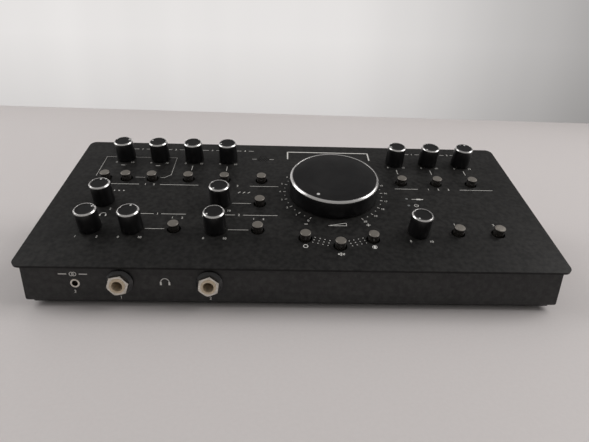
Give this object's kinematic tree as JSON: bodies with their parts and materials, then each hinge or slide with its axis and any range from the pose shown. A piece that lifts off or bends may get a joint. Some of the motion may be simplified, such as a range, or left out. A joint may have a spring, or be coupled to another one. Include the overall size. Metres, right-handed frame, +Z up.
{
  "type": "studio monitor controller",
  "caption": "Low wedge-shaped desktop monitor controller: steel case, large volume dial, small level knobs, round push buttons, front headphone jacks and rear line sockets.",
  "frame": {"origin": "on the table under the middle of the outline", "axes": "+X to the user's right, +Y to the rear, +Z up"},
  "size_m": [0.33, 0.1408, 0.0808],
  "materials": {
    "black_steel": "fine satin powder coat, black",
    "zinc_steel": "zinc plated",
    "foot_rubber": "matt black rubber",
    "circuit_board": "green solder mask",
    "pot_metal": "bare pressed metal",
    "switch_plastic": "matt black",
    "lamp_lens": "clear lens, unlit",
    "capsule_metal": "bare can",
    "knob_black": "satin black with a bright bevelled ring and a pointer dot",
    "dial_black": "satin black",
    "bright_ring": "polished bevel",
    "shaft_steel": "turned",
    "button_smoke": "glossy smoky grey",
    "jack_plastic": "black",
    "collar_gloss": "glossy black",
    "nickel": "bright nickel"
  },
  "bodies": {
    "case": {"top_plate": "black_steel", "top_plate_nuts": "zinc_steel", "case_walls": "black_steel", "bottom_cover": "black_steel", "bottom_screws": "zinc_steel", "rubber_feet": "foot_rubber", "main_board": "circuit_board", "main_board_screws": "zinc_steel", "potentiometers": "pot_metal", "volume_potentiometer": "pot_metal", "button_switches": "switch_plastic", "panel_lamps": "lamp_lens", "talkback_microphone": "capsule_metal", "headphone_jacks": "jack_plastic", "headphone_jack_collars": "collar_gloss", "headphone_jack_nuts": "nickel", "stereo_in_jack": "jack_plastic", "front_jack_board": "circuit_board", "line_jacks": "jack_plastic", "line_jack_nuts": "nickel", "combo_jacks": "jack_plastic", "computer_socket": "nickel", "power_inlet": "jack_plastic", "rear_board": "circuit_board", "power_switch_housing": "jack_plastic"},
    "volume_dial": {"dial_body": "dial_black", "dial_ring": "bright_ring", "dial_top": "dial_black", "dial_shaft": "shaft_steel"},
    "rocker": {"power_rocker": "jack_plastic"},
    "headphone_mix_knob_body": {"headphone_mix_knob": "knob_black"},
    "headphone_level_knob_1_body": {"headphone_level_knob_1": "knob_black"},
    "source_mix_knob_body": {"source_mix_knob": "knob_black"},
    "headphone_level_knob_2_body": {"headphone_level_knob_2": "knob_black"},
    "studio_level_knob_body": {"studio_level_knob": "knob_black"},
    "talkback_level_knob_body": {"talkback_level_knob": "knob_black"},
    "input_gain_knob_1_body": {"input_gain_knob_1": "knob_black"},
    "input_gain_knob_2_body": {"input_gain_knob_2": "knob_black"},
    "input_gain_knob_3_body": {"input_gain_knob_3": "knob_black"},
    "input_gain_knob_4_body": {"input_gain_knob_4": "knob_black"},
    "monitor_trim_knob_1_body": {"monitor_trim_knob_1": "knob_black"},
    "monitor_trim_knob_2_body": {"monitor_trim_knob_2": "knob_black"},
    "monitor_trim_knob_3_body": {"monitor_trim_knob_3": "knob_black"},
    "phantom_power_button_body": {"phantom_power_button": "button_smoke"},
    "instrument_button_1_body": {"instrument_button_1": "button_smoke"},
    "instrument_button_2_body": {"instrument_button_2": "button_smoke"},
    "source_button_1_body": {"source_button_1": "button_smoke"},
    "source_button_2_body": {"source_button_2": "button_smoke"},
    "talkback_button_body": {"talkback_button": "button_smoke"},
    "monitor_select_button_1_body": {"monitor_select_button_1": "button_smoke"},
    "monitor_select_button_2_body": {"monitor_select_button_2": "button_smoke"},
    "monitor_select_button_3_body": {"monitor_select_button_3": "button_smoke"},
    "studio_source_button_body": {"studio_source_button": "button_smoke"},
    "headphone_source_button_1_body": {"headphone_source_button_1": "button_smoke"},
    "headphone_source_button_2_body": {"headphone_source_button_2": "button_smoke"},
    "mono_button_body": {"mono_button": "button_smoke"},
    "mute_button_body": {"mute_button": "button_smoke"},
    "dim_button_body": {"dim_button": "button_smoke"},
    "two_track_button_body": {"two_track_button": "button_smoke"},
    "computer_sound_button_body": {"computer_sound_button": "button_smoke"}
  },
  "joints": [
    {"name": "volume_dial_turn", "type": "hinge", "parent": "case", "child": "volume_dial", "pos_m": [0.02725, 0.00738, 0.05208], "axis": [0, 0.3007, -0.9537], "range_deg": [0, 300]},
    {"name": "power_rocker_tip", "type": "hinge", "parent": "case", "child": "rocker", "pos_m": [-0.115, 0.06294, 0.028], "axis": [-1, 0, 0], "range_deg": [0, 14]},
    {"name": "headphone_mix_knob_turn", "type": "hinge", "parent": "case", "child": "headphone_mix_knob_body", "pos_m": [-0.13025, -0.03401, 0.03902], "axis": [0, 0.3007, -0.9537], "range_deg": [-197, 103]},
    {"name": "headphone_level_knob_1_turn", "type": "hinge", "parent": "case", "child": "headphone_level_knob_1_body", "pos_m": [-0.104, -0.03401, 0.03902], "axis": [0, 0.3007, -0.9537], "range_deg": [-157, 143]},
    {"name": "source_mix_knob_turn", "type": "hinge", "parent": "case", "child": "source_mix_knob_body", "pos_m": [-0.13025, -0.00693, 0.04756], "axis": [0, 0.3007, -0.9537], "range_deg": [-147, 153]},
    {"name": "headphone_level_knob_2_turn", "type": "hinge", "parent": "case", "child": "headphone_level_knob_2_body", "pos_m": [-0.0515, -0.03401, 0.03902], "axis": [0, 0.3007, -0.9537], "range_deg": [-26, 274]},
    {"name": "studio_level_knob_turn", "type": "hinge", "parent": "case", "child": "studio_level_knob_body", "pos_m": [-0.0515, -0.00693, 0.04756], "axis": [0, 0.3007, -0.9537], "range_deg": [-13, 287]},
    {"name": "talkback_level_knob_turn", "type": "hinge", "parent": "case", "child": "talkback_level_knob_body", "pos_m": [0.07925, -0.03401, 0.03902], "axis": [0, 0.3007, -0.9537], "range_deg": [-9, 291]},
    {"name": "input_gain_knob_1_turn", "type": "hinge", "parent": "case", "child": "input_gain_knob_1_body", "pos_m": [-0.13025, 0.04724, 0.06464], "axis": [0, 0.3007, -0.9537], "range_deg": [-214, 86]},
    {"name": "input_gain_knob_2_turn", "type": "hinge", "parent": "case", "child": "input_gain_knob_2_body", "pos_m": [-0.104, 0.04724, 0.06464], "axis": [0, 0.3007, -0.9537], "range_deg": [-82, 218]},
    {"name": "input_gain_knob_3_turn", "type": "hinge", "parent": "case", "child": "input_gain_knob_3_body", "pos_m": [-0.07775, 0.04724, 0.06464], "axis": [0, 0.3007, -0.9537], "range_deg": [-17, 283]},
    {"name": "input_gain_knob_4_turn", "type": "hinge", "parent": "case", "child": "input_gain_knob_4_body", "pos_m": [-0.0515, 0.04724, 0.06464], "axis": [0, 0.3007, -0.9537], "range_deg": [-49, 251]},
    {"name": "monitor_trim_knob_1_turn", "type": "hinge", "parent": "case", "child": "monitor_trim_knob_1_body", "pos_m": [0.07925, 0.04724, 0.06464], "axis": [0, 0.3007, -0.9537], "range_deg": [-54, 246]},
    {"name": "monitor_trim_knob_2_turn", "type": "hinge", "parent": "case", "child": "monitor_trim_knob_2_body", "pos_m": [0.1055, 0.04724, 0.06464], "axis": [0, 0.3007, -0.9537], "range_deg": [-18, 282]},
    {"name": "monitor_trim_knob_3_turn", "type": "hinge", "parent": "case", "child": "monitor_trim_knob_3_body", "pos_m": [0.13175, 0.04724, 0.06464], "axis": [0, 0.3007, -0.9537], "range_deg": [-168, 132]},
    {"name": "phantom_power_button_press", "type": "slide", "parent": "case", "child": "phantom_power_button_body", "axis": [0, 0.3007, -0.9537], "range_m": [0, 0.0015], "stiffness_N_per_m": 600},
    {"name": "instrument_button_1_press", "type": "slide", "parent": "case", "child": "instrument_button_1_body", "axis": [0, 0.3007, -0.9537], "range_m": [0, 0.0015], "stiffness_N_per_m": 600},
    {"name": "instrument_button_2_press", "type": "slide", "parent": "case", "child": "instrument_button_2_body", "axis": [0, 0.3007, -0.9537], "range_m": [0, 0.0015], "stiffness_N_per_m": 600},
    {"name": "source_button_1_press", "type": "slide", "parent": "case", "child": "source_button_1_body", "axis": [0, 0.3007, -0.9537], "range_m": [0, 0.0015], "stiffness_N_per_m": 600},
    {"name": "source_button_2_press", "type": "slide", "parent": "case", "child": "source_button_2_body", "axis": [0, 0.3007, -0.9537], "range_m": [0, 0.0015], "stiffness_N_per_m": 600},
    {"name": "talkback_button_press", "type": "slide", "parent": "case", "child": "talkback_button_body", "axis": [0, 0.3007, -0.9537], "range_m": [0, 0.0015], "stiffness_N_per_m": 600},
    {"name": "monitor_select_button_1_press", "type": "slide", "parent": "case", "child": "monitor_select_button_1_body", "axis": [0, 0.3007, -0.9537], "range_m": [0, 0.0015], "stiffness_N_per_m": 600},
    {"name": "monitor_select_button_2_press", "type": "slide", "parent": "case", "child": "monitor_select_button_2_body", "axis": [0, 0.3007, -0.9537], "range_m": [0, 0.0015], "stiffness_N_per_m": 600},
    {"name": "monitor_select_button_3_press", "type": "slide", "parent": "case", "child": "monitor_select_button_3_body", "axis": [0, 0.3007, -0.9537], "range_m": [0, 0.0015], "stiffness_N_per_m": 600},
    {"name": "studio_source_button_press", "type": "slide", "parent": "case", "child": "studio_source_button_body", "axis": [0, 0.3007, -0.9537], "range_m": [0, 0.0015], "stiffness_N_per_m": 600},
    {"name": "headphone_source_button_1_press", "type": "slide", "parent": "case", "child": "headphone_source_button_1_body", "axis": [0, 0.3007, -0.9537], "range_m": [0, 0.0015], "stiffness_N_per_m": 600},
    {"name": "headphone_source_button_2_press", "type": "slide", "parent": "case", "child": "headphone_source_button_2_body", "axis": [0, 0.3007, -0.9537], "range_m": [0, 0.0015], "stiffness_N_per_m": 600},
    {"name": "mono_button_press", "type": "slide", "parent": "case", "child": "mono_button_body", "axis": [0, 0.3007, -0.9537], "range_m": [0, 0.0015], "stiffness_N_per_m": 600},
    {"name": "mute_button_press", "type": "slide", "parent": "case", "child": "mute_button_body", "axis": [0, 0.3007, -0.9537], "range_m": [0, 0.0015], "stiffness_N_per_m": 600},
    {"name": "dim_button_press", "type": "slide", "parent": "case", "child": "dim_button_body", "axis": [0, 0.3007, -0.9537], "range_m": [0, 0.0015], "stiffness_N_per_m": 600},
    {"name": "two_track_button_press", "type": "slide", "parent": "case", "child": "two_track_button_body", "axis": [0, 0.3007, -0.9537], "range_m": [0, 0.0015], "stiffness_N_per_m": 600},
    {"name": "computer_sound_button_press", "type": "slide", "parent": "case", "child": "computer_sound_button_body", "axis": [0, 0.3007, -0.9537], "range_m": [0, 0.0015], "stiffness_N_per_m": 600}
  ]
}
